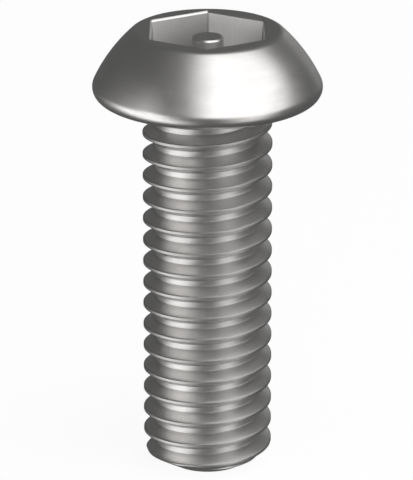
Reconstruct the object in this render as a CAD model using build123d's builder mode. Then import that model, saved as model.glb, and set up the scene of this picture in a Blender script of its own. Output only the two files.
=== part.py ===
from build123d import *
import math
import os

# Button head security screw, M4 x 0.7, 12 mm long, with a pin in its hexagon socket.
# Sizes are in millimetres. The origin is the centre of the bearing face under the head,
# +Z points out of the head along the axis, and the shank hangs below the origin.

# Thread and shank
thread_diameter = 4.0        # over the crests
thread_pitch = 0.7           # one start, right-handed
thread_angle = 60.0          # between the two flanks
crest_below_head = 0.105     # from the bearing face down to the crest over +X
shank_length = 12.0          # from the bearing face to the flat end
end_diameter = 2.4           # the flat that the chamfer leaves on the end
end_chamfer_angle = 30.0     # between the chamfer and the flat end
neck_straight = 0.05         # smooth stretch between the neck's fillet and the thread
neck_clearance = 0.04        # from the thread's crests out to where the bearing face starts

# Head
head_diameter = 7.06
head_height = 2.12
dome_radius = 5.04           # of the arc from the rim to the flat top
rim_height = 0.42            # from the bearing face up to the dome
rim_flat = 0.012             # straight stretch left between the rim's two roundings
land_width = 0.29            # flat top left outside the corners of the socket
land_round = 0.32            # where the flat top turns into the dome

# Drive socket and its pin
socket_across_flats = 3.45
socket_depth = 1.40          # from the flat top
socket_chamfer = 0.05        # broken edge around its mouth
pin_diameter = 0.95
pin_recess = 0.25            # from the flat top down to the pin's top
pin_chamfer = 0.06

# Worked out from the sizes above: the head and the socket
head_radius = head_diameter / 2
socket_corner_radius = socket_across_flats / math.sqrt(3)
land_radius = socket_corner_radius + land_width
socket_floor = head_height - socket_depth
pin_top = head_height - pin_recess

# The dome's chord and its arc give the angle by which the dome leans in at the rim. The same
# fillet rounds both edges of the rim, so its radius follows from that angle and the rim's height.
dome_chord = math.dist((head_radius, rim_height), (land_radius, head_height))
chord_lean = math.atan2(head_radius - land_radius, head_height - rim_height)
rim_lean = chord_lean - math.asin(dome_chord / 2 / dome_radius)
rim_fillet = (rim_height - rim_flat) / (1 + math.tan(rim_lean / 2))

# The thread's form: a ridge with straight flanks, an eighth of the pitch wide at its crest,
# and a flat groove floor of a quarter of the pitch. Its foot is sunk into the core.
thread_radius = thread_diameter / 2
flank_slope = math.tan(math.radians(thread_angle / 2))
crest_width = thread_pitch / 8
groove_width = thread_pitch / 4
thread_depth = (thread_pitch - crest_width - groove_width) / 2 / flank_slope
root_radius = thread_radius - thread_depth
foot_radius = root_radius - thread_pitch / 12
foot_width = crest_width + 2 * (thread_radius - foot_radius) * flank_slope
neck_fillet = thread_depth + neck_clearance
neck_length = neck_fillet + neck_straight

# The helix starts and stops about a pitch beyond the metal, and cones trim it to length.
beyond = 1.5 * thread_pitch
outside_radius = thread_radius + beyond
end_radius = end_diameter / 2
end_chamfer_rise = (outside_radius - end_radius) * math.tan(math.radians(end_chamfer_angle))
turns = math.ceil(shank_length / thread_pitch) + 2
helix_bottom = (1 - turns) * thread_pitch - crest_below_head

with BuildPart() as thread:
    with BuildLine():
        Helix(thread_pitch, turns * thread_pitch, thread_radius, center=(0, 0, helix_bottom))
    with BuildSketch(Plane.XZ):
        with BuildLine():
            Polyline(
                (foot_radius, helix_bottom - foot_width / 2),
                (thread_radius, helix_bottom - crest_width / 2),
                (thread_radius, helix_bottom + crest_width / 2),
                (foot_radius, helix_bottom + foot_width / 2),
                close=True,
            )
        make_face()
    sweep(is_frenet=True)

    # The thread fades in below the neck, along a 45 degree cone.
    with BuildSketch(Plane.XZ):
        with BuildLine():
            Polyline(
                (0, root_radius - neck_length),
                (outside_radius, root_radius - neck_length - outside_radius),
                (outside_radius, root_radius + beyond),
                (0, root_radius + beyond),
                close=True,
            )
        make_face()
    revolve(axis=Axis.Z, mode=Mode.SUBTRACT)

with BuildPart() as screw:
    # Head, neck and core of the shank, turned in one piece, with the core left too long
    with BuildSketch(Plane.XZ) as blank:
        with BuildLine():
            Polyline(
                (land_radius, head_height),
                (0, head_height),
                (0, -shank_length - beyond),
                (root_radius, -shank_length - beyond),
                (root_radius, 0),
                (head_radius, 0),
                (head_radius, rim_height),
            )
            RadiusArc((head_radius, rim_height), (land_radius, head_height), -dome_radius)
        make_face()
        fillet(blank.vertices().sort_by_distance((root_radius, 0))[0], neck_fillet)
        fillet(blank.vertices().sort_by_distance((head_radius, 0))[0], rim_fillet)
        fillet(blank.vertices().sort_by_distance((head_radius, rim_height))[0], rim_fillet)
        fillet(blank.vertices().sort_by_distance((land_radius, head_height))[0], land_round)
    revolve(axis=Axis.Z)
    add(thread.part)

    # The chamfered end: core and thread are cut off together.
    with BuildSketch(Plane.XZ):
        with BuildLine():
            Polyline(
                (0, -shank_length),
                (end_radius, -shank_length),
                (outside_radius, -shank_length + end_chamfer_rise),
                (outside_radius, -shank_length - 2 * beyond),
                (0, -shank_length - 2 * beyond),
                close=True,
            )
        make_face()
    revolve(axis=Axis.Z, mode=Mode.SUBTRACT)

    # Hexagon socket with two corners on the Y axis, and the pin left standing in it
    with BuildSketch(Plane.XY.offset(socket_floor)):
        RegularPolygon(socket_across_flats / 2, 6, major_radius=False, rotation=30)
    extrude(amount=socket_depth, mode=Mode.SUBTRACT)
    chamfer(screw.faces().sort_by(Axis.Z)[-1].inner_wires()[0].edges(), socket_chamfer)
    with BuildSketch(Plane.XY.offset(socket_floor)):
        Circle(pin_diameter / 2)
    extrude(amount=socket_depth - pin_recess)
    chamfer(screw.edges().filter_by_position(Axis.Z, pin_top, pin_top), pin_chamfer)

screw.part.label = "screw"
os.makedirs("parts", exist_ok=True)
export_step(screw.part, "parts/screw.step")
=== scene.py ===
"""Button head security screw in satin steel, standing on its end in a plain white studio.

The screw's surface is one closed skin, carried up the outside of the screw from the middle of
its flat end, over the head, down into the hexagon socket and up over the pin. Lengths inside the
classes are in millimetres, and Skin.mesh turns them into metres.
"""

import logging
import math
from dataclasses import dataclass, field
from enum import Enum
from typing import ClassVar

import bpy
import numpy as np
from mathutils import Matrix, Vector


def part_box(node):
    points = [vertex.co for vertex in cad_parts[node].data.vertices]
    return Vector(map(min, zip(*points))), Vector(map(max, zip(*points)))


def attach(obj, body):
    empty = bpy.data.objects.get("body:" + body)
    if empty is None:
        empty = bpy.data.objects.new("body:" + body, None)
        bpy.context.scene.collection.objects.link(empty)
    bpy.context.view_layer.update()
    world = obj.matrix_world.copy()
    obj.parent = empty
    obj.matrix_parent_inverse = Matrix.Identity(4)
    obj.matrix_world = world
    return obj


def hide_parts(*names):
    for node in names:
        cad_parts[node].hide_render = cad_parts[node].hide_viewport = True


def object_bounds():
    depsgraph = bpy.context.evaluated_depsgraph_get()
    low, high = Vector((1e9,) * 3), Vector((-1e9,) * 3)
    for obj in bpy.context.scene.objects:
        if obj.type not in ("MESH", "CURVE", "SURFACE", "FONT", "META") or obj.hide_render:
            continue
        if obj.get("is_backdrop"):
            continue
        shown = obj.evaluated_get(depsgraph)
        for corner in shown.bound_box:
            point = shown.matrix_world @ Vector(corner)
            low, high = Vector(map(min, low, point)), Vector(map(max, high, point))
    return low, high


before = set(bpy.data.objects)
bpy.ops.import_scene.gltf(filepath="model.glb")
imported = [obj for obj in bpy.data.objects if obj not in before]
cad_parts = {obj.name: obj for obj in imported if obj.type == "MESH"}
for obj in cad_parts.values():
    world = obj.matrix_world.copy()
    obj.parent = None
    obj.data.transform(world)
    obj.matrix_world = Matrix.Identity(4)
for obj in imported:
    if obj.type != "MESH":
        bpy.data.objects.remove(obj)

MM = 0.001                          # metres in a millimetre
COLUMNS = 180                       # of the skin, round the axis; a multiple of 12
EDGE_REACH = 0.05                   # millimetres over which an edge or a corner marks its sides
SAME = 1e-7                         # millimetres within which two points of a profile are one
WELD_STEPS = 1e6                    # in a millimetre, to which points are rounded to weld them
HARD_CORNER = 38.0                  # degrees past which two faces meet in a hard corner
MIX_SPAN = (0.3, 0.7)               # of mixed noise, which takes a tone from end to end

log = logging.getLogger("button_head_screw")


class Zone(Enum):
    """The differently made stretches of the screw's surface, in the order of the material slots."""

    THREAD = 0
    HEAD = 1
    SOCKET = 2
    PIN = 3
    BEARING = 4


class Mark(Enum):
    """What the mesh tells its finishes about each point, by the names of its attributes."""

    LAY = "lay"                         # millimetres, square to the lines that the tools leave
    WORN = "worn"                       # 1 on outward edges
    SUNK = "sunk"                       # 1 in inward corners and on the socket walls, where shade is painted


def linked(name: str, data: bpy.types.ID) -> bpy.types.Object:
    """Makes an object, at the origin, and puts it into the scene.

    Args:
        name: Its name.
        data: Its mesh or camera.

    Returns:
        The object.
    """
    made = bpy.data.objects.new(name, data)
    bpy.context.scene.collection.objects.link(made)
    return made


def bends(line: np.ndarray, reach: float, inward: bool) -> np.ndarray:
    """How near each point of a section is to its bends.

    Each point's turn, in radians, counts with the bell curve of its distance along the line, and
    the sum is cut off at 1. The solid is on the line's left hand, so an outward edge turns left.

    Args:
        line: Points as (radius, height) rows.
        reach: Distance over which a bend's share falls to about a third.
        inward: Whether it is the inward corners that count.

    Returns:
        A number from 0 to 1 for each point.
    """
    step = np.diff(line, axis=0)
    along = np.concatenate([[0.0], np.cumsum(np.hypot(*step.T))])
    heading = np.unwrap(np.arctan2(step[:, 1], step[:, 0]))
    turn = np.concatenate([[0.0], np.diff(heading), [0.0]]) * (-1 if inward else 1)
    share = np.exp(-((along[:, None] - along) / reach) ** 2) @ np.maximum(turn, 0.0)
    return np.minimum(share, 1.0)


@dataclass
class Profile:
    """Half of the screw's lengthwise section, as points from one end of a stretch to the other.

    Each point has a radius, a height and a hexagon share: 0 for a round ring and 1 for a
    hexagonal one, whose radius is then the distance to the middle of a flat.
    """

    radius: list[np.ndarray] = field(default_factory=list)
    height: list[np.ndarray] = field(default_factory=list)
    share: list[np.ndarray] = field(default_factory=list)

    def add(self, radius: np.ndarray, height: np.ndarray, share: np.ndarray | float = 0.0) -> None:
        """Appends points.

        Args:
            radius: Their radii.
            height: Their heights.
            share: Their hexagon shares, or the one that they all have.
        """
        self.radius.append(np.atleast_1d(radius).astype(float))
        self.height.append(np.atleast_1d(height).astype(float))
        self.share.append(np.broadcast_to(share, self.radius[-1].shape).astype(float))

    def line(self, start: tuple[float, float], end: tuple[float, float], rows: int,
             share: tuple[float, float] = (0.0, 0.0)) -> None:
        """Appends a straight stretch, with its points closer together towards both of its ends.

        Args:
            start: Radius and height at its start.
            end: Radius and height at its end.
            rows: How many steps it is cut into.
            share: Hexagon share at its start and at its end.
        """
        along = (1 - np.cos(np.linspace(0, math.pi, rows + 1))) / 2
        self.add(start[0] + (end[0] - start[0]) * along,
                 start[1] + (end[1] - start[1]) * along,
                 share[0] + (share[1] - share[0]) * along)

    def arc(self, centre: tuple[float, float], radius: float, start: float, end: float,
            rows: int, share: float = 0.0) -> None:
        """Appends a circular stretch: its centre plus its radius times (cosine, sine) of an angle.

        Args:
            centre: Radius and height of its centre.
            radius: Its own radius.
            start: Angle at its start, in radians, from outwards towards up.
            end: Angle at its end.
            rows: How many steps it is cut into.
            share: Hexagon share all along it.
        """
        angle = np.linspace(start, end, rows + 1)
        self.add(centre[0] + radius * np.cos(angle), centre[1] + radius * np.sin(angle), share)

    def arrays(self) -> tuple[np.ndarray, np.ndarray, np.ndarray]:
        """Radius, height and hexagon share of every point, without the points that repeat.

        Returns:
            Three arrays of the same length.
        """
        points = np.stack([np.concatenate(self.radius), np.concatenate(self.height),
                           np.concatenate(self.share)])
        moved = np.abs(np.diff(points[:2])).max(0) > SAME
        return tuple(points[:, np.concatenate([[True], moved])])


def rounded(corners: list[tuple[float, float]], radii: list[float], rows: int) -> np.ndarray:
    """A polyline with its inner corners rounded.

    At each corner an arc of the given radius touches both sides. It starts and ends the radius
    times the tangent of half the turn away from the corner, and its centre lies on the line that
    halves the corner's angle.

    Args:
        corners: Radius and height of each corner, with both ends.
        radii: Radius of the arc at each inner corner.
        rows: How many steps each arc is cut into.

    Returns:
        Points of the rounded line, as an array of (radius, height) rows.
    """
    points = [np.array(corners[0])]
    for before, corner, after, radius in zip(corners, corners[1:], corners[2:], radii):
        corner = np.array(corner)
        back = (np.array(before) - corner) / math.dist(before, corner)
        on = (np.array(after) - corner) / math.dist(after, corner)
        half_turn = (math.pi - math.acos(np.clip(back @ on, -1, 1))) / 2
        middle = (back + on) / np.linalg.norm(back + on)
        centre = corner + middle * radius / math.cos(half_turn)
        across = (on - back) / np.linalg.norm(on - back)
        angle = np.linspace(-half_turn, half_turn, rows + 1)[:, None]
        points.extend(centre + radius * (np.sin(angle) * across - np.cos(angle) * middle))
    points.append(np.array(corners[-1]))
    return np.array(points)


@dataclass
class Skin:
    """The screw's surface, gathered from patches of four-sided faces and welded into one mesh."""

    name: str
    columns: int = COLUMNS
    vertices: list[np.ndarray] = field(default_factory=list)
    faces: list[np.ndarray] = field(default_factory=list)
    zones: list[np.ndarray] = field(default_factory=list)
    marks: list[np.ndarray] = field(default_factory=list)
    count: int = 0

    @property
    def turn(self) -> np.ndarray:
        """Angle of each column, as a share of a full turn from +X."""
        return np.arange(self.columns) / self.columns

    def add(self, vertices: np.ndarray, faces: np.ndarray, zone: Zone,
            marks: dict[Mark, np.ndarray]) -> None:
        """Takes in a patch.

        Args:
            vertices: Its points, in millimetres.
            faces: Four indices into those points for each face, anticlockwise from outside.
            zone: What the patch belongs to.
            marks: What each point is marked with; a mark that is missing is 0.
        """
        none = np.zeros(len(vertices))
        self.vertices.append(vertices)
        self.faces.append(faces + self.count)
        self.zones.append(np.full(len(faces), zone.value))
        self.marks.append(np.stack([marks.get(mark, none).ravel() for mark in Mark], -1))
        self.count += len(vertices)

    def revolve(self, profile: Profile, zone: Zone, lay: float = 0.0,
                painted_shade: np.ndarray | float = 0.0) -> float:
        """Takes in the surface of rings that a profile makes as it turns about the axis.

        The point of a ring at angle a is (r cos a, r sin a, z). On a hexagonal ring r is the
        distance to a flat divided by the cosine of the angle from that flat's middle, and the
        hexagon share blends between the two.

        Args:
            profile: The rings, in order, with the solid on their left hand.
            zone: What the rings belong to.
            lay: The lay at the first ring, from where it grows along the profile.
            painted_shade: How much shade is painted on each point, from 0 to 1, one row to a ring.

        Returns:
            The lay at the last ring.
        """
        radius, height, share = profile.arrays()
        angle = self.turn * 2 * math.pi
        sixth = math.pi / 3
        from_flat = (angle + sixth / 2) % sixth - sixth / 2
        reach = radius[:, None] * (1 + share[:, None] * (1 / np.cos(from_flat) - 1))
        line = np.stack([radius, height], -1)
        along = lay + np.concatenate([[0.0], np.cumsum(np.hypot(*np.diff(line, axis=0).T))])
        whole = np.ones_like(reach)
        # The sunk mark carries painted shade: the inward corners, and any painted shade passed in.
        marks = {Mark.LAY: along[:, None] * whole,
                 Mark.WORN: bends(line, EDGE_REACH, inward=False)[:, None] * whole,
                 Mark.SUNK: np.maximum(bends(line, EDGE_REACH, inward=True)[:, None] * whole,
                                       painted_shade)}
        points = np.stack([reach * np.cos(angle), reach * np.sin(angle),
                           np.broadcast_to(height[:, None], reach.shape)], -1)
        row, column = np.meshgrid(np.arange(len(radius) - 1), np.arange(self.columns),
                                  indexing="ij")
        beside = (column + 1) % self.columns
        corners = [row * self.columns + column, row * self.columns + beside,
                   (row + 1) * self.columns + beside, (row + 1) * self.columns + column]
        self.add(points.reshape(-1, 3), np.stack(corners, -1).reshape(-1, 4), zone, marks)
        return along[-1]

    def welded(self) -> tuple[np.ndarray, np.ndarray, np.ndarray, np.ndarray]:
        """Joins the points that lie in one place, and closes up the faces that this narrows.

        Returns:
            The points, the marks of each point, four indices for each face, with the fourth
            equal to the third on a triangle, and the zone of each face.
        """
        points, faces = np.concatenate(self.vertices), np.concatenate(self.faces)
        grid = np.round(points * WELD_STEPS).astype(np.int64)
        _, first, same = np.unique(grid, axis=0, return_index=True, return_inverse=True)
        faces = same.reshape(-1)[faces]
        repeats = faces == np.roll(faces, -1, axis=1)
        kept = repeats.sum(1) <= 1
        faces, repeats = faces[kept], repeats[kept]
        start = np.where(repeats.any(1), repeats.argmax(1) + 2, 0)
        faces = np.take_along_axis(faces, (start[:, None] + np.arange(4)) % 4, axis=1)
        used, faces = np.unique(faces, return_inverse=True)
        chosen = first[used]
        return (points[chosen], np.concatenate(self.marks)[chosen], faces.reshape(-1, 4),
                np.concatenate(self.zones)[kept])

    def mesh(self) -> bpy.types.Object:
        """Makes the Blender object, at the origin, with its place in its mesh.

        Returns:
            The object, smooth-shaded, with its hard corners marked.
        """
        points, marks, faces, zones = self.welded()
        triangle = faces[:, 2] == faces[:, 3]
        sides = np.where(triangle, 3, 4)
        mesh = bpy.data.meshes.new(self.name)
        mesh.vertices.add(len(points))
        mesh.vertices.foreach_set("co", (points * MM).astype(np.float32).ravel())
        mesh.loops.add(int(sides.sum()))
        mesh.polygons.add(len(faces))
        keep = np.ones(faces.shape, bool)
        keep[triangle, 3] = False
        mesh.loops.foreach_set("vertex_index", faces[keep].astype(np.int32))
        mesh.polygons.foreach_set("loop_start", (np.cumsum(sides) - sides).astype(np.int32))
        mesh.polygons.foreach_set("material_index", zones.astype(np.int32))
        for mark, values in zip(Mark, marks.T):
            attribute = mesh.attributes.new(mark.value, "FLOAT", "POINT")
            attribute.data.foreach_set("value", values.astype(np.float32))
        mesh.update(calc_edges=True)
        mesh.validate()
        mesh.shade_smooth()
        mesh.set_sharp_from_angle(angle=math.radians(HARD_CORNER))
        return linked(self.name, mesh)


@dataclass
class Shank:
    """The threaded shank: flat end, chamfer, rolled thread and the neck under the head.

    The sizes are those of the solid, and the roundings are what rolling leaves on its edges.
    """

    length: float
    diameter: float = 4.0
    pitch: float = 0.7
    flank_angle: float = 30.0           # of each flank, from square to the axis
    crest_below_head: float = 0.105     # from the bearing face down to the crest over +X
    end_diameter: float = 2.4
    end_angle: float = 30.0             # of the chamfer, from the flat end
    neck_clearance: float = 0.04
    neck_straight: float = 0.05
    crest_rounding: float = 0.008
    root_rounding: float = 0.012
    end_rounding: float = 0.02
    blend: float = 0.02                 # width over which the thread runs out into the cones
    blend_reach: float = 6.0            # in such widths, past which the blend no longer shows
    rim_clearance: float = 0.01         # between a rim of the thread's strip and the next row
    groove_reach: float = 0.09          # from the groove's corners, over which shade is painted

    def __post_init__(self) -> None:
        """Works out the thread's depth and where its run-outs start and end."""
        self.crest = self.diameter / 2
        self.slope = math.tan(math.radians(self.flank_angle))
        self.crest_width = self.pitch / 8
        self.groove_width = self.pitch / 4
        self.depth = (self.pitch - self.crest_width - self.groove_width) / 2 / self.slope
        self.root = self.crest - self.depth
        self.neck_fillet = self.depth + self.neck_clearance
        self.neck_length = self.neck_fillet + self.neck_straight
        self.end_radius = self.end_diameter / 2
        self.end_slope = math.tan(math.radians(self.end_angle))
        self.bottom = -self.length + (self.root - self.end_radius) * self.end_slope
        self.top = -self.neck_length

    def pitch_profile(self) -> np.ndarray:
        """One pitch of the thread's section, from the middle of a crest up to the next.

        Returns:
            Points as (radius, height) rows. The last stands for the next pitch's first.
        """
        half_crest = self.crest_width / 2
        flank = self.depth * self.slope
        corners = [(self.crest, 0.0), (self.crest, half_crest), (self.root, half_crest + flank),
                   (self.root, self.pitch - half_crest - flank),
                   (self.crest, self.pitch - half_crest), (self.crest, self.pitch)]
        radii = [self.crest_rounding, self.root_rounding, self.root_rounding, self.crest_rounding]
        line = rounded(corners, radii, rows=2)
        return self.finer(line, longest=0.08)

    @staticmethod
    def finer(line: np.ndarray, longest: float) -> np.ndarray:
        """Cuts each step of a line that is longer than the given length into equal parts.

        Args:
            line: Points as rows.
            longest: The length.

        Returns:
            The points of the finer line.
        """
        pieces = []
        for start, end in zip(line, line[1:]):
            parts = max(1, math.ceil(math.dist(start, end) / longest))
            pieces.append(start + (end - start) * np.arange(parts)[:, None] / parts)
        return np.concatenate(pieces + [line[-1:]])

    def cut(self, radius: np.ndarray, height: np.ndarray) -> np.ndarray:
        """Limits the thread's radius by the chamfer at the end and the run-out under the neck.

        The smaller of two radii a and b is taken softly: their mean less half the square root
        of their difference squared plus the blend squared, and never under the root or above b.

        Args:
            radius: Radius of the full thread at each point.
            height: Height of each point.

        Returns:
            The radius that is left.
        """
        chamfer = self.end_radius + (height + self.length) / self.end_slope
        runout = self.root + (self.top - height)
        for cone in (chamfer, runout):
            soft = (radius + cone - np.sqrt((radius - cone) ** 2 + self.blend ** 2)) / 2
            near = np.abs(radius - cone) < self.blend_reach * self.blend
            radius = np.where(near, soft, np.minimum(radius, cone))
        return np.maximum(radius, self.root)

    def thread(self, skin: Skin) -> None:
        """Adds the thread, as one strip that winds up the shank.

        The strip's rows are the points of one pitch's section, repeated, and each column lifts
        them by its share of a turn times the pitch, so that a full turn joins each row to the
        same row one pitch further up. Rows that pass the strip's lower or upper rim are drawn
        back onto it, which ends the strip in two plain rings.

        Args:
            skin: The surface that takes it in.
        """
        section = self.pitch_profile()[:-1]
        rows = len(section)
        marks = self.section_marks(section)
        first = math.floor((self.bottom + self.crest_below_head) / self.pitch) - 2
        last = math.ceil((self.top + self.crest_below_head) / self.pitch) + 2
        turns = np.arange(first, last)
        radius = np.tile(section[:, 0], len(turns))
        height = (section[:, 1] + turns[:, None] * self.pitch - self.crest_below_head).ravel()
        lift = skin.turn[:, None] * self.pitch
        low = np.searchsorted(height, self.bottom - lift + self.rim_clearance) - 1
        high = np.searchsorted(height, self.top - lift - self.rim_clearance)
        columns = np.arange(skin.columns)[:, None]
        span = np.arange(len(height))
        z = np.broadcast_to(height, (skin.columns, len(height))) + lift
        z = np.where(span <= low, self.bottom, np.where(span >= high, self.top, z))
        reach = self.cut(np.broadcast_to(radius, z.shape), z)
        drawn = (span <= low) | (span >= high)
        reach = np.where(drawn, self.root, reach)
        angle = skin.turn[:, None] * 2 * math.pi
        points = np.stack([reach * np.cos(angle), reach * np.sin(angle), z], -1)

        def index(column: np.ndarray, row: np.ndarray) -> np.ndarray:
            """Index of the point in a column and row, with the row drawn back onto a rim.

            Args:
                column: Columns, which may pass a full turn.
                row: Rows of the strip.

            Returns:
                The indices.
            """
            wrapped = column % skin.columns
            row = row + rows * (column // skin.columns)
            return wrapped * len(height) + np.clip(row, low[wrapped, 0], high[wrapped, 0])

        row = np.arange(len(height) - rows - 1)[None, :]
        beside = columns + 1
        corners = [index(columns, row), index(beside, row), index(beside, row + 1),
                   index(columns, row + 1)]
        tiled = {mark: np.where(drawn, self.half_lay if mark is Mark.LAY else 0.0,
                                np.tile(values, len(turns))) for mark, values in marks.items()}
        skin.add(points.reshape(-1, 3), np.stack(corners, -1).reshape(-1, 4), Zone.THREAD, tiled)

    def section_marks(self, section: np.ndarray) -> dict[Mark, np.ndarray]:
        """The marks of one pitch of the thread.

        The lay is the distance from the middle of the nearest crest, so that it joins up from
        pitch to pitch. The bends are those of the middle one of three pitches in a row.

        Args:
            section: Points of one pitch, without the last.

        Returns:
            The marks of each point.
        """
        rows = len(section)
        three = np.concatenate([section + [0.0, lift * self.pitch] for lift in (-1, 0, 1)])
        step = np.hypot(*np.diff(three[rows:2 * rows + 1], axis=0).T)
        along = np.concatenate([[0.0], np.cumsum(step)])
        lay = np.minimum(along[:-1], along[-1] - along[:-1])
        # The sunk mark paints shade into the corners of the groove.
        return {Mark.LAY: lay,
                Mark.WORN: bends(three, EDGE_REACH, inward=False)[rows:2 * rows],
                Mark.SUNK: bends(three, self.groove_reach, inward=True)[rows:2 * rows]}

    @property
    def half_lay(self) -> float:
        """Distance along the section from the middle of a crest to the middle of the groove."""
        flank = self.depth / math.cos(math.radians(self.flank_angle))
        return self.crest_width / 2 + flank + self.groove_width / 2

    def end(self, skin: Skin) -> None:
        """Adds the flat end and the chamfer up to the lowest groove.

        Args:
            skin: The surface that takes it in.
        """
        outline = rounded([(0.0, -self.length), (self.end_radius, -self.length),
                           (self.root, self.bottom)], [self.end_rounding], rows=2)
        outline = self.finer(outline, longest=0.12)
        profile = Profile()
        profile.add(outline[:, 0], outline[:, 1])
        length = np.hypot(*np.diff(outline, axis=0).T).sum()
        skin.revolve(profile, Zone.THREAD, lay=self.half_lay - length)

    def neck(self, skin: Skin) -> float:
        """Adds the straight of the neck and its fillet.

        Args:
            skin: The surface that takes it in.

        Returns:
            The lay where they end.
        """
        centre = (self.root + self.neck_fillet, -self.neck_fillet)
        profile = Profile()
        profile.line((self.root, self.top), (self.root, -self.neck_fillet), rows=1)
        profile.arc(centre, self.neck_fillet, math.pi, math.pi / 2, rows=10)
        return skin.revolve(profile, Zone.BEARING, lay=self.half_lay)


@dataclass
class Head:
    """The button head: bearing face, rim, dome and the flat top round the socket."""

    diameter: float
    height: float
    bearing_radius: float               # where the neck's fillet reaches the bearing face
    land_radius: float                  # where the dome would meet the flat top
    mouth: float                        # distance from the axis to a side of the socket's mouth
    dome_radius: float = 5.04
    rim_height: float = 0.42
    rim_flat: float = 0.012
    land_round: float = 0.32

    def build(self, skin: Skin, lay: float) -> float:
        """Adds the head, from the bearing face over the rim and the dome to the socket's mouth.

        The dome is an arc through the rim's upper edge and the land's edge. The fillets beside it
        touch it from inside, so their centres lie the dome's radius less their own radius from
        the dome's centre, on the line through the point where they touch.

        Args:
            skin: The surface that takes it in.
            lay: The lay where it starts.

        Returns:
            The lay where it ends.
        """
        edge = self.diameter / 2
        chord = math.dist((edge, self.rim_height), (self.land_radius, self.height))
        lean = math.atan2(edge - self.land_radius, self.height - self.rim_height)
        half = math.asin(chord / 2 / self.dome_radius)
        fillet = (self.rim_height - self.rim_flat) / (1 + math.tan((lean - half) / 2))
        inwards = math.pi + lean
        drop = self.dome_radius * math.cos(half)
        centre = ((edge + self.land_radius) / 2 + drop * math.cos(inwards),
                  (self.rim_height + self.height) / 2 + drop * math.sin(inwards))
        low_out = edge - fillet
        low_up = centre[1] + math.sqrt((self.dome_radius - fillet) ** 2
                                       - (low_out - centre[0]) ** 2)
        high_up = self.height - self.land_round
        high_out = centre[0] + math.sqrt((self.dome_radius - self.land_round) ** 2
                                         - (high_up - centre[1]) ** 2)
        low = math.atan2(low_up - centre[1], low_out - centre[0])
        high = math.atan2(high_up - centre[1], high_out - centre[0])
        quarter = math.pi / 2

        under, profile = Profile(), Profile()
        under.line((self.bearing_radius, 0.0), (low_out, 0.0), rows=6)
        profile.arc((low_out, fillet), fillet, -quarter, 0.0, rows=10)
        profile.arc((low_out, low_up), fillet, 0.0, low, rows=5)
        profile.arc(centre, self.dome_radius, low, high, rows=26)
        profile.arc((high_out, high_up), self.land_round, high, quarter, rows=8)
        profile.line((high_out, self.height), (self.mouth, self.height), rows=4, share=(0.0, 1.0))
        lay = skin.revolve(under, Zone.BEARING, lay)
        return skin.revolve(profile, Zone.HEAD, lay)


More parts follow.
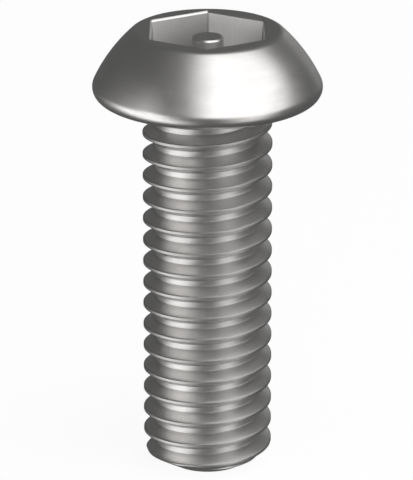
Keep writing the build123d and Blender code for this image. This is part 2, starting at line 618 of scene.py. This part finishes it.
@dataclass
class Socket:
    """The hexagon socket with two corners on the Y axis, and the pin that stands in it.

    Below the chamfer of its mouth the walls close in by the punch's draft.
    """

    top: float                          # height of the flat top
    across_flats: float = 3.41          # where the chamfer ends
    depth: float = 1.40
    chamfer: float = 0.055
    draft: float = 4.2                  # degrees by which the walls lean in on their way down
    edge_rounding: float = 0.012
    pin_diameter: float = 0.99
    pin_recess: float = 0.21
    pin_chamfer: float = 0.05
    pin_rounding: float = 0.02
    wall_painted_shade: tuple[float, ...] = (1.1, 0.0, 0.66, 1.1, 0.66, 0.0)    # painted shade of each wall, for how light falls on it, from +X, anticlockwise
    painted_shade_growth: float = 0.5            # for each millimetre down
    painted_shade_far: float = 0.7               # share of a wall's painted shade away from the corner on +Y
    nudge: float = 0.001                # of a turn, towards +Y, which gives a corner to one wall

    @property
    def mouth(self) -> float:
        """Distance from the axis to a side of the mouth, chamfer and rounding included."""
        return self.across_flats / 2 + self.chamfer + self.edge_rounding

    def painted_shade(self, skin: Skin, height: np.ndarray) -> np.ndarray:
        """How much shade is painted onto the walls.

        Each wall keeps its own share of painted shade, set by how light falls on it. It grows with
        the depth, and towards the corner on +Y with twice the sine of the angle about the axis,
        less 1, where that is over 0. A point on a corner counts with the wall that is nearer to +Y.

        Args:
            skin: The surface that the walls belong to.
            height: Height of each ring.

        Returns:
            A number from 0 to 1 for each point, one row to a ring.
        """
        angle = skin.turn * 2 * math.pi
        towards = self.nudge * np.cos(angle)
        wall = np.array(self.wall_painted_shade)[np.round((skin.turn + towards) * 6).astype(int) % 6]
        near = np.clip(2 * np.sin(angle) - 1, 0, 1)
        share = wall * (self.painted_shade_far + (1 - self.painted_shade_far) * near)
        return np.clip(share * (1 + self.painted_shade_growth * (self.top - height[:, None])), 0, 1)

    def build(self, skin: Skin, lay: float) -> None:
        """Adds the chamfered mouth, the six walls, the floor and the pin.

        The rings stay hexagonal down to the floor, which turns them round as they close in on
        the pin. The hexagon's corners lie on the Y axis, half a side away from its flats. The
        mouth and the pin's top are finished as the head is.

        Args:
            skin: The surface that takes it in.
            lay: The lay where it starts.
        """
        wall = self.across_flats / 2
        floor = self.top - self.depth
        foot = wall - (self.depth - self.chamfer) * math.tan(math.radians(self.draft))
        mouth = rounded([(self.mouth, self.top), (wall + self.chamfer, self.top),
                         (wall, self.top - self.chamfer), (wall, self.top - 2 * self.chamfer)],
                        [self.edge_rounding] * 2, rows=2)[:-1]
        pin = self.pin_diameter / 2
        pin_top = self.top - self.pin_recess
        upper = rounded([(pin, pin_top - 2 * self.pin_chamfer), (pin, pin_top - self.pin_chamfer),
                         (pin - self.pin_chamfer, pin_top), (0.0, pin_top)],
                        [self.pin_rounding] * 2, rows=3)[1:]
        upper = Shank.finer(upper, longest=0.12)
        edge, walls, ground, stem, tip = (Profile() for _ in range(5))
        edge.add(mouth[:, 0], mouth[:, 1], 1.0)
        walls.line(tuple(mouth[-1]), (foot, floor), rows=14, share=(1.0, 1.0))
        ground.line((foot, floor), (pin, floor), rows=6, share=(1.0, 0.0))
        stem.line((pin, floor), (pin, upper[0, 1]), rows=8)
        tip.add(upper[:, 0], upper[:, 1])
        lay = skin.revolve(edge, Zone.HEAD, lay)
        # The walls carry painted shade that deepens downwards and towards the corner on +Y.
        lay = skin.revolve(walls, Zone.SOCKET, lay, self.painted_shade(skin, walls.arrays()[1]))
        lay = skin.revolve(ground, Zone.SOCKET, lay)
        lay = skin.revolve(stem, Zone.PIN, lay)
        skin.revolve(tip, Zone.HEAD, lay)


Feed = bpy.types.NodeSocket | float | tuple[float, ...]


@dataclass
class Board:
    """A node tree that is being wired up."""

    tree: bpy.types.NodeTree

    @classmethod
    def blank(cls, name: str) -> tuple[bpy.types.Material, "Board"]:
        """Makes a material whose node tree is empty.

        Args:
            name: The material's name.

        Returns:
            The material and a board on its tree.
        """
        material = bpy.data.materials.new(name)
        material.use_nodes = True
        material.node_tree.nodes.clear()
        return material, cls(material.node_tree)

    def node(self, kind: str, feeds: dict[str | int, Feed] | None = None,
             **settings: object) -> bpy.types.Node:
        """Adds a node.

        Args:
            kind: Its type.
            feeds: What goes into its inputs, by name or by place: an output or a plain value.
            settings: Its own properties.

        Returns:
            The node.
        """
        node = self.tree.nodes.new(kind)
        for key, value in settings.items():
            setattr(node, key, value)
        for key, value in (feeds or {}).items():
            if isinstance(value, bpy.types.NodeSocket):
                self.tree.links.new(value, node.inputs[key])
            else:
                node.inputs[key].default_value = value
        return node

    def math(self, operation: str, *feeds: Feed) -> bpy.types.NodeSocket:
        """Adds a Math node, and returns its output."""
        return self.node("ShaderNodeMath", dict(enumerate(feeds)), operation=operation).outputs[0]

    def vector(self, operation: str, *feeds: Feed) -> bpy.types.NodeSocket:
        """Adds a Vector Math node with vector inputs, and returns its vector."""
        node = self.node("ShaderNodeVectorMath", dict(enumerate(feeds)), operation=operation)
        return node.outputs["Vector"]

    def span(self, value: Feed, low: float, high: float, to_low: float = 0.0,
             to_high: float = 1.0) -> bpy.types.NodeSocket:
        """Turns a range of a value smoothly into another range.

        Args:
            value: The value.
            low: Start of its range.
            high: End of its range.
            to_low: Start of the other range.
            to_high: End of the other range.

        Returns:
            The result.
        """
        feeds = {"Value": value, "From Min": low, "From Max": high, "To Min": to_low,
                 "To Max": to_high}
        return self.node("ShaderNodeMapRange", feeds,
                         interpolation_type="SMOOTHSTEP").outputs["Result"]

    def mix(self, share: Feed, start: Feed, end: Feed) -> bpy.types.NodeSocket:
        """Goes from one value to another by a share, and returns the result."""
        return self.node("ShaderNodeMix", {"Factor": share, "A": start, "B": end},
                         data_type="FLOAT").outputs[0]

    def total(self, *terms: tuple[Feed, float]) -> bpy.types.NodeSocket:
        """Adds up values, each times a factor.

        Args:
            terms: The values with their factors.

        Returns:
            The sum.
        """
        made = 0.0
        for value, factor in terms:
            made = self.math("MULTIPLY_ADD", value, factor, made)
        return made

    def noise(self, place: Feed, scale: Feed, detail: Feed, **feeds: Feed) -> bpy.types.NodeSocket:
        """Adds three-dimensional noise.

        Args:
            place: Where it is read.
            scale: How many spots there are in a unit of length.
            detail: How many finer layers it has.
            feeds: Its other inputs, by name.

        Returns:
            The noise, from 0 to 1.
        """
        named = {"Vector": place, "Scale": scale, "Detail": detail} | feeds
        return self.node("ShaderNodeTexNoise", named).outputs["Fac"]

    def millimetres(self) -> bpy.types.NodeSocket:
        """The place on the object, in millimetres."""
        place = self.node("ShaderNodeTexCoord").outputs["Object"]
        return self.node("ShaderNodeMapping", {"Vector": place, "Scale": (1 / MM,) * 3}).outputs[0]

    def mark(self, mark: Mark) -> bpy.types.NodeSocket:
        """One of the mesh's marks."""
        node = self.node("ShaderNodeAttribute", attribute_type="GEOMETRY",
                         attribute_name=mark.value)
        return node.outputs["Fac"]


class Effect:
    """A shader node group that several finishes place with their own values.

    A subclass names the group, its inputs with their usual values, and its output, and wires
    what lies between them.
    """

    name: ClassVar[str]
    inputs: ClassVar[dict[str, float]]
    output: ClassVar[str]

    def wire(self, board: Board, given: bpy.types.NodeOutputs) -> bpy.types.NodeSocket:
        """Adds the group's nodes.

        Args:
            board: The group's tree.
            given: Its inputs, by name.

        Returns:
            The socket that holds its result.
        """
        raise NotImplementedError

    def group(self) -> bpy.types.NodeTree:
        """Makes the node group the first time that it is asked for.

        Returns:
            The node group.
        """
        made = bpy.data.node_groups.get(self.name)
        if made is not None:
            return made
        made = bpy.data.node_groups.new(self.name, "ShaderNodeTree")
        for label, value in self.inputs.items():
            socket = made.interface.new_socket(label, in_out="INPUT",
                                               socket_type="NodeSocketFloat")
            socket.default_value = value
        made.interface.new_socket(self.output, in_out="OUTPUT", socket_type="NodeSocketFloat")
        board = Board(made)
        given = board.node("NodeGroupInput").outputs
        board.node("NodeGroupOutput", {self.output: self.wire(board, given)})
        return made

    def place(self, board: Board, **feeds: Feed) -> bpy.types.NodeSocket:
        """Places the group in a material, and returns its output.

        Args:
            board: The material's nodes.
            feeds: Its inputs by name, in lower case and with low lines for spaces.

        Returns:
            The group's output.
        """
        named = {label: feeds[key] for label in self.inputs
                 if (key := label.lower().replace(" ", "_")) in feeds}
        return board.node("ShaderNodeGroup", named, node_tree=self.group()).outputs[self.output]


class ToolLines(Effect):
    """Fine lines round the axis, as turning and rolling leave them, from 0 to 1.

    Noise is read at (cosine and sine of the angle about the axis) times the run, and at the lay
    times the fineness, so that it has no seam. Its fourth dimension is the height times the
    drift, which makes each turn of the thread differ from the next.
    """

    name = "tool_lines"
    inputs = {"Lay": 0.0, "Fineness": 12.0, "Run": 3.0, "Drift": 1.0}
    output = "Line"

    def wire(self, board: Board, given: bpy.types.NodeOutputs) -> bpy.types.NodeSocket:
        """Wires the group, as Effect.wire says."""
        place = board.node("ShaderNodeSeparateXYZ", {0: board.millimetres()}).outputs
        flat = board.node("ShaderNodeCombineXYZ", {"X": place["X"], "Y": place["Y"]}).outputs[0]
        round_axis = board.node("ShaderNodeVectorMath",
                                {0: board.vector("NORMALIZE", flat), "Scale": given["Run"]},
                                operation="SCALE").outputs["Vector"]
        across = board.math("MULTIPLY", given["Lay"], given["Fineness"])
        lifted = board.node("ShaderNodeCombineXYZ", {"Z": across}).outputs[0]
        feeds = {"Vector": board.vector("ADD", round_axis, lifted),
                 "W": board.math("MULTIPLY", place["Z"], given["Drift"]),
                 "Scale": 1.0, "Detail": 2.0, "Roughness": 0.6}
        return board.node("ShaderNodeTexNoise", feeds, noise_dimensions="4D").outputs["Fac"]


class Grain(Effect):
    """An even grain, from 0 to 1: noise whose spots are of the given size in millimetres."""

    name = "grain"
    inputs = {"Size": 0.05, "Detail": 2.0}
    output = "Grain"

    def wire(self, board: Board, given: bpy.types.NodeOutputs) -> bpy.types.NodeSocket:
        """Wires the group, as Effect.wire says."""
        return board.noise(board.millimetres(), board.math("DIVIDE", 1.0, given["Size"]),
                           given["Detail"], Roughness=0.55)


class Hairlines(Effect):
    """Sparse handling scratches: 1 on a scratch and 0 beside it.

    Noise is stretched along one slanting line, and only its highest ridge is kept. A second,
    soft noise leaves the scratches out of most places.
    """

    name = "hairlines"
    inputs = {"Slant": 0.6, "Length": 1.2, "Width": 0.02}
    output = "Scratch"
    ridge_span: ClassVar[tuple[float, float]] = (0.66, 0.74)
    place_span: ClassVar[tuple[float, float]] = (0.5, 0.62)

    def wire(self, board: Board, given: bpy.types.NodeOutputs) -> bpy.types.NodeSocket:
        """Wires the group, as Effect.wire says."""
        turn = board.node("ShaderNodeCombineXYZ", {"Y": given["Slant"], "Z": given["Slant"]})
        turned = board.node("ShaderNodeMapping", {"Vector": board.millimetres(),
                                                  "Rotation": turn.outputs[0]})
        narrow = board.math("DIVIDE", 1.0, given["Width"])
        stretch = board.node("ShaderNodeCombineXYZ",
                             {"X": board.math("DIVIDE", 1.0, given["Length"]), "Y": narrow,
                              "Z": narrow})
        stretched = board.vector("MULTIPLY", turned.outputs[0], stretch.outputs[0])
        ridge = board.noise(stretched, scale=0.35, detail=0.0)
        here = board.noise(board.millimetres(), scale=0.9, detail=1.0)
        return board.math("MULTIPLY", board.span(ridge, *self.ridge_span),
                          board.span(here, *self.place_span))


class Rubbed(Effect):
    """Where edges are rubbed: their mark, broken up by noise, from 0 to 1."""

    name = "rubbed"
    inputs = {"Edge": 0.0, "Size": 0.25, "Ragged": 0.5}
    output = "Rubbed"
    edge_span: ClassVar[tuple[float, float]] = (0.15, 0.85)

    def wire(self, board: Board, given: bpy.types.NodeOutputs) -> bpy.types.NodeSocket:
        """Wires the group, as Effect.wire says."""
        noise = board.noise(board.millimetres(), board.math("DIVIDE", 1.0, given["Size"]), 3.0)
        broken = board.math("MULTIPLY", board.math("SUBTRACT", noise, 0.5), given["Ragged"])
        return board.span(board.math("ADD", given["Edge"], broken), *self.edge_span)


@dataclass(frozen=True)
class SteelFinish:
    """Satin stainless steel, as one way of working it leaves it."""

    name: str
    tone: float = 0.6                   # of the bare steel
    tone_spread: float = 0.05           # by which patches, lines and grain change it
    edge_tone: float = 0.66             # of outward edges, rubbed bright or left dull
    red_share: float = 1.015            # of the tone; a little over 1 for a warm cast
    blue_share: float = 0.985
    painted_shade_tone: float = 0.40             # of the painted shade in inward corners, thread grooves and socket walls
    painted_shade: float = 0.5                   # how much of that painted shade shows at the most
    painted_shade_patchy: float = 0.15           # share of that by which patches thin it
    painted_shade_rougher: float = 0.1
    metallic: float = 1.0
    roughness: float = 0.36
    roughness_spread: float = 0.06
    edge_smoother: float = 0.06         # how much less rough those edges are
    fineness: float = 12.0              # lines in a millimetre
    run: float = 3.0                    # how often a line starts and stops round the axis
    drift: float = 1.0
    line_height: float = 0.25           # micrometres
    grain_size: float = 0.05            # millimetres
    grain_height: float = 0.25          # micrometres
    patch_size: float = 1.1             # millimetres
    mix: tuple[float, float, float] = (0.5, 0.3, 0.2)   # shares of patches, lines and grain
    scratch_height: float = 0.4         # micrometres
    drawn: bool = False                 # whether the lines run along the axis, not round it

    def lines(self, board: Board) -> bpy.types.NodeSocket:
        """The lines that the tool left, from 0 to 1.

        Lines along the axis are noise that hardly changes with height, read at the fineness.

        Args:
            board: The material's nodes.

        Returns:
            The lines.
        """
        if not self.drawn:
            return ToolLines().place(board, lay=board.mark(Mark.LAY), fineness=self.fineness,
                                     run=self.run, drift=self.drift)
        place = board.node("ShaderNodeTexCoord").outputs["Object"]
        scale = (self.fineness / MM, self.fineness / MM, self.drift / MM)
        mapped = board.node("ShaderNodeMapping", {"Vector": place, "Scale": scale}).outputs[0]
        return board.noise(mapped, scale=1.0, detail=2.0)

    def dress(self) -> bpy.types.Material:
        """Makes the finish's material.

        The tone and the roughness each lie about their mean by a mix of soft patches, tool lines
        and grain. Outward edges have their own, and shade is painted as a darker tone into inward
        corners, thread grooves and the socket walls. The relief is the sum of the lines and the
        grain less the scratches, in micrometres.

        Returns:
            The material.
        """
        material, board = Board.blank(self.name)
        line = self.lines(board)
        grain = Grain().place(board, size=self.grain_size)
        patch = Grain().place(board, size=self.patch_size, detail=3.0)
        scratch = Hairlines().place(board)
        rubbed = Rubbed().place(board, edge=board.mark(Mark.WORN))
        # Painted shade: a darker tone in inward corners, thread grooves and socket walls, thinned
        # by patches.
        painted_shade = board.math("MULTIPLY", board.mark(Mark.SUNK),
                          board.span(patch, 0.2, 0.6, self.painted_shade * (1 - self.painted_shade_patchy),
                                     self.painted_shade))
        mixed = board.total(*zip((patch, line, grain), self.mix))

        tone = board.span(mixed, *MIX_SPAN, self.tone - self.tone_spread,
                          self.tone + self.tone_spread)
        tone = board.mix(rubbed, tone, self.edge_tone)
        tone = board.mix(painted_shade, tone, self.painted_shade_tone)
        colour = board.node("ShaderNodeCombineColor",
                            {"Red": board.math("MULTIPLY", tone, self.red_share), "Green": tone,
                             "Blue": board.math("MULTIPLY", tone, self.blue_share)})
        rough = board.span(mixed, *MIX_SPAN, self.roughness + self.roughness_spread,
                           self.roughness - self.roughness_spread)
        rough = board.total((rough, 1.0), (rubbed, -self.edge_smoother),
                            (painted_shade, self.painted_shade_rougher))
        relief = board.total((line, self.line_height), (grain, self.grain_height),
                             (scratch, -self.scratch_height))
        bump = board.node("ShaderNodeBump", {"Strength": 1.0, "Distance": MM / 1000,
                                             "Height": relief})
        shader = board.node("ShaderNodeBsdfPrincipled",
                            {"Base Color": colour.outputs[0], "Metallic": self.metallic,
                             "Roughness": rough, "Normal": bump.outputs["Normal"]})
        board.node("ShaderNodeOutputMaterial", {"Surface": shader.outputs["BSDF"]})
        return material


# The painted shade settings below darken inward corners, thread grooves and socket walls as painted
# shade.
FINISHES: dict[Zone, SteelFinish] = {
    Zone.THREAD: SteelFinish("rolled_steel", tone=0.65, edge_tone=0.46, edge_smoother=-0.08,
                             fineness=26.0, run=2.0, drift=1.6, line_height=0.15,
                             grain_height=0.15, painted_shade=0.45, painted_shade_tone=0.4),
    Zone.HEAD: SteelFinish("formed_steel", tone_spread=0.03, fineness=10.0, run=1.6, drift=0.4,
                           line_height=0.07),
    Zone.SOCKET: SteelFinish("punched_steel", tone=0.79, tone_spread=0.03, metallic=0.3,
                             roughness=0.5, fineness=14.0, drift=0.35, line_height=0.25,
                             grain_height=0.3, painted_shade=1.0, painted_shade_tone=0.2, drawn=True),
    Zone.PIN: SteelFinish("turned_steel", tone=0.72, roughness=0.5, painted_shade=0.3),
    # Matt underside of the head; its darker tone is partly painted shade under the head.
    Zone.BEARING: SteelFinish("matt_steel", tone=0.5, metallic=0.45, roughness=0.5, painted_shade=0.2),
}


@dataclass
class ButtonHeadScrew:
    """The whole screw: its sub-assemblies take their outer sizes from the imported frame."""

    name: str = "button_head_screw"
    node: str = "screw"
    slot: str = "steel"
    land_width: float = 0.2358          # flat top left outside the corners of the mouth

    def __post_init__(self) -> None:
        """Reads the head's radius and height and the shank's length from the frame."""
        low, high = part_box(self.node)
        self.shank = Shank(length=-low.z / MM)
        self.socket = Socket(top=high.z / MM)
        corner = 2 * self.socket.mouth / math.sqrt(3)
        self.head = Head(diameter=(high.x - low.x) / MM, height=high.z / MM,
                         bearing_radius=self.shank.root + self.shank.neck_fillet,
                         land_radius=corner + self.land_width, mouth=self.socket.mouth)

    def build(self) -> bpy.types.Object:
        """Makes the screw's skin and binds it to the frame.

        Returns:
            The object.
        """
        skin = Skin(self.name)
        self.shank.end(skin)
        self.shank.thread(skin)
        lay = self.shank.neck(skin)
        lay = self.head.build(skin, lay)
        self.socket.build(skin, lay)
        screw = skin.mesh()
        for zone in Zone:
            screw.data.materials.append(FINISHES[zone].dress())
        log.info("%s: %d points, %d faces", self.name, len(screw.data.vertices),
                 len(screw.data.polygons))
        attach(screw, "root")
        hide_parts(self.node)
        return screw


@dataclass(frozen=True)
class SoftPanel:
    """A glowing panel of the light tent, by its place and size in degrees seen from the screw."""

    name: str
    azimuth: float                      # of its middle, from -Y towards +X
    elevation: float
    half_width: float
    half_height: float
    softness: float                     # width of the stretch over which its edge fades
    lean: float                         # turn of its sides about its middle
    strength: float

    def glow(self, directions: np.ndarray) -> np.ndarray:
        """How brightly the panel glows in each direction.

        A direction's angle from the panel's middle is laid out flat, as a distance along the
        panel's two sides. The fourth root of the sum of both distances to the fourth power, each
        as a share of its half size, is 1 along a rounded outline, across which the glow falls in
        a smooth step.

        Args:
            directions: Unit vectors from the screw, one to a row.

        Returns:
            The glow in each of them.
        """
        across, up, lean = np.radians([self.azimuth, self.elevation, self.lean])
        middle = np.array([math.cos(up) * math.sin(across), -math.cos(up) * math.cos(across),
                           math.sin(up)])
        right = np.array([math.cos(across), math.sin(across), 0.0])
        upright = np.cross(middle, right)
        upright *= np.sign(upright[2])
        wide = directions @ (math.cos(lean) * right + math.sin(lean) * upright)
        high = directions @ (math.cos(lean) * upright - math.sin(lean) * right)
        angle = np.degrees(np.arccos(np.clip(directions @ middle, -1, 1)))
        spread = angle / np.maximum(np.hypot(wide, high), 1e-9)
        outline = ((np.abs(wide) * spread / self.half_width) ** 4
                   + (np.abs(high) * spread / self.half_height) ** 4) ** 0.25
        inside = (1 - outline) * min(self.half_width, self.half_height) / self.softness + 0.5
        inside = np.clip(inside, 0, 1)
        return self.strength * inside * inside * (3 - 2 * inside)


@dataclass(frozen=True)
class LightTent:
    """A round tent of dim cloth about the screw, with soft glowing panels and no other light."""

    radius: float = 0.3
    middle: float = -0.005
    cloth: float = 0.122
    rows: int = 120
    panels: tuple[SoftPanel, ...] = (
        SoftPanel("key", 43.8, 41.4, 40.0, 38.8, 15.0, -35.0, 1.79),
        SoftPanel("fill", -67.5, -21.8, 18.3, 37.2, 13.0, 47.0, 1.80),
        SoftPanel("strip", -53.9, 6.7, 18.0, 6.5, 11.0, -50.0, 3.15),
        SoftPanel("bounce", 43.8, -21.4, 16.4, 14.6, 10.7, 0.0, 1.24),
        SoftPanel("rear", 156.5, 5.8, 12.2, 11.8, 10.0, 0.0, 0.31),
    )

    def build(self) -> bpy.types.Object:
        """Makes the tent, a globe of rows by elevation and twice as many columns by azimuth.

        Returns:
            The object.
        """
        up = np.radians(np.linspace(-90, 90, self.rows + 1))[:, None]
        across = np.radians(np.linspace(-180, 180, 2 * self.rows + 1))[None, :]
        directions = np.stack([np.cos(up) * np.sin(across), -np.cos(up) * np.cos(across),
                               np.sin(up) * np.ones_like(across)], -1).reshape(-1, 3)
        row, column = np.meshgrid(np.arange(self.rows), np.arange(2 * self.rows), indexing="ij")
        corner = (row * (2 * self.rows + 1) + column).ravel()
        over = corner + 2 * self.rows + 1
        faces = np.stack([corner, corner + 1, over + 1, over], -1)
        mesh = bpy.data.meshes.new("light_tent")
        points = directions * self.radius + np.array([0.0, 0.0, self.middle])
        mesh.from_pydata(points.tolist(), [], faces.tolist())
        glow = mesh.attributes.new("glow", "FLOAT", "POINT")
        level = self.cloth + sum(panel.glow(directions) for panel in self.panels)
        glow.data.foreach_set("value", level.astype(np.float32))
        material, board = Board.blank("tent_cloth")
        level = board.node("ShaderNodeAttribute", attribute_name="glow")
        cloth = board.node("ShaderNodeEmission", {"Strength": level.outputs["Fac"]})
        board.node("ShaderNodeOutputMaterial", {"Surface": cloth.outputs["Emission"]})
        mesh.materials.append(material)
        tent = linked("light_tent", mesh)
        tent.visible_camera = False
        tent.visible_shadow = False
        tent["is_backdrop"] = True
        return tent


@dataclass(frozen=True)
class Floor:
    """A plain pale floor that is clear from below, and the white behind it."""

    height: float                       # metres
    radius: float = 2.0                 # metres
    sides: int = 96
    gap: float = 2e-6                   # metres under the screw, which keeps the two faces apart
    paleness: float = 0.8
    own_white: float = 0.88             # share of the floor that shows white whatever the light
    white_strength: float = 1.05        # just over plain white

    def build(self) -> bpy.types.Object:
        """Makes the floor as a flat disc, and the world behind it.

        Returns:
            The floor.
        """
        angle = np.linspace(0, 2 * math.pi, self.sides, endpoint=False)
        rim = np.stack([self.radius * np.cos(angle), self.radius * np.sin(angle),
                        np.full_like(angle, self.height - self.gap)], -1)
        mesh = bpy.data.meshes.new("floor")
        mesh.from_pydata(rim.tolist(), [], [list(range(len(rim)))])
        material, board = Board.blank("pale_floor")
        seen = board.node("ShaderNodeLightPath").outputs["Is Camera Ray"]
        matt = board.node("ShaderNodeBsdfDiffuse", {"Color": (self.paleness,) * 3 + (1.0,)})
        white = board.node("ShaderNodeEmission", {"Strength": self.white_strength})
        both = board.node("ShaderNodeMixShader",
                          {"Fac": board.math("MULTIPLY", seen, self.own_white),
                           1: matt.outputs["BSDF"], 2: white.outputs["Emission"]})
        below = board.node("ShaderNodeNewGeometry").outputs["Backfacing"]
        clear = board.node("ShaderNodeBsdfTransparent").outputs["BSDF"]
        shown = board.node("ShaderNodeMixShader",
                           {"Fac": below, 1: both.outputs["Shader"], 2: clear})
        board.node("ShaderNodeOutputMaterial", {"Surface": shown.outputs["Shader"]})
        mesh.materials.append(material)
        floor = linked("floor", mesh)
        floor.visible_glossy = False
        floor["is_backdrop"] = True

        world = bpy.data.worlds.new("white")
        world.use_nodes = True
        world.node_tree.nodes["Background"].inputs["Color"].default_value = (1.0, 1.0, 1.0, 1.0)
        bpy.context.scene.world = world
        return floor


@dataclass(frozen=True)
class Eye:
    """The camera, above and in front of the screw, with its axis level with the shank."""

    elevation: float = 20.102           # degrees above the horizon
    distance: float = 122.944           # to the shank's axis
    aim_height: float = -4.695
    aim_side: float = -0.03075
    lens: float = 297.26                # for Blender's 36 mm sensor on the frame's long side

    def build(self) -> bpy.types.Object:
        """Makes the camera and makes it the scene's own.

        Returns:
            The camera.
        """
        angle = math.radians(self.elevation)
        data = bpy.data.cameras.new("camera")
        data.lens = self.lens
        data.clip_start, data.clip_end = 0.01, 5.0
        camera = linked("camera", data)
        camera.location = (self.aim_side * MM, -self.distance * math.cos(angle) * MM,
                           (self.aim_height + self.distance * math.sin(angle)) * MM)
        camera.rotation_euler = (math.pi / 2 - angle, 0.0, 0.0)
        bpy.context.scene.camera = camera
        return camera


def main() -> None:
    """Builds the screw, the studio and the camera."""
    logging.basicConfig(level=logging.INFO, format="%(name)s: %(message)s")
    cad_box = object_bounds()
    bpy.context.scene.view_settings.view_transform = "Standard"
    ButtonHeadScrew().build()
    LightTent().build()
    Floor(height=cad_box[0].z).build()
    Eye().build()


if __name__ == "__main__":
    main()
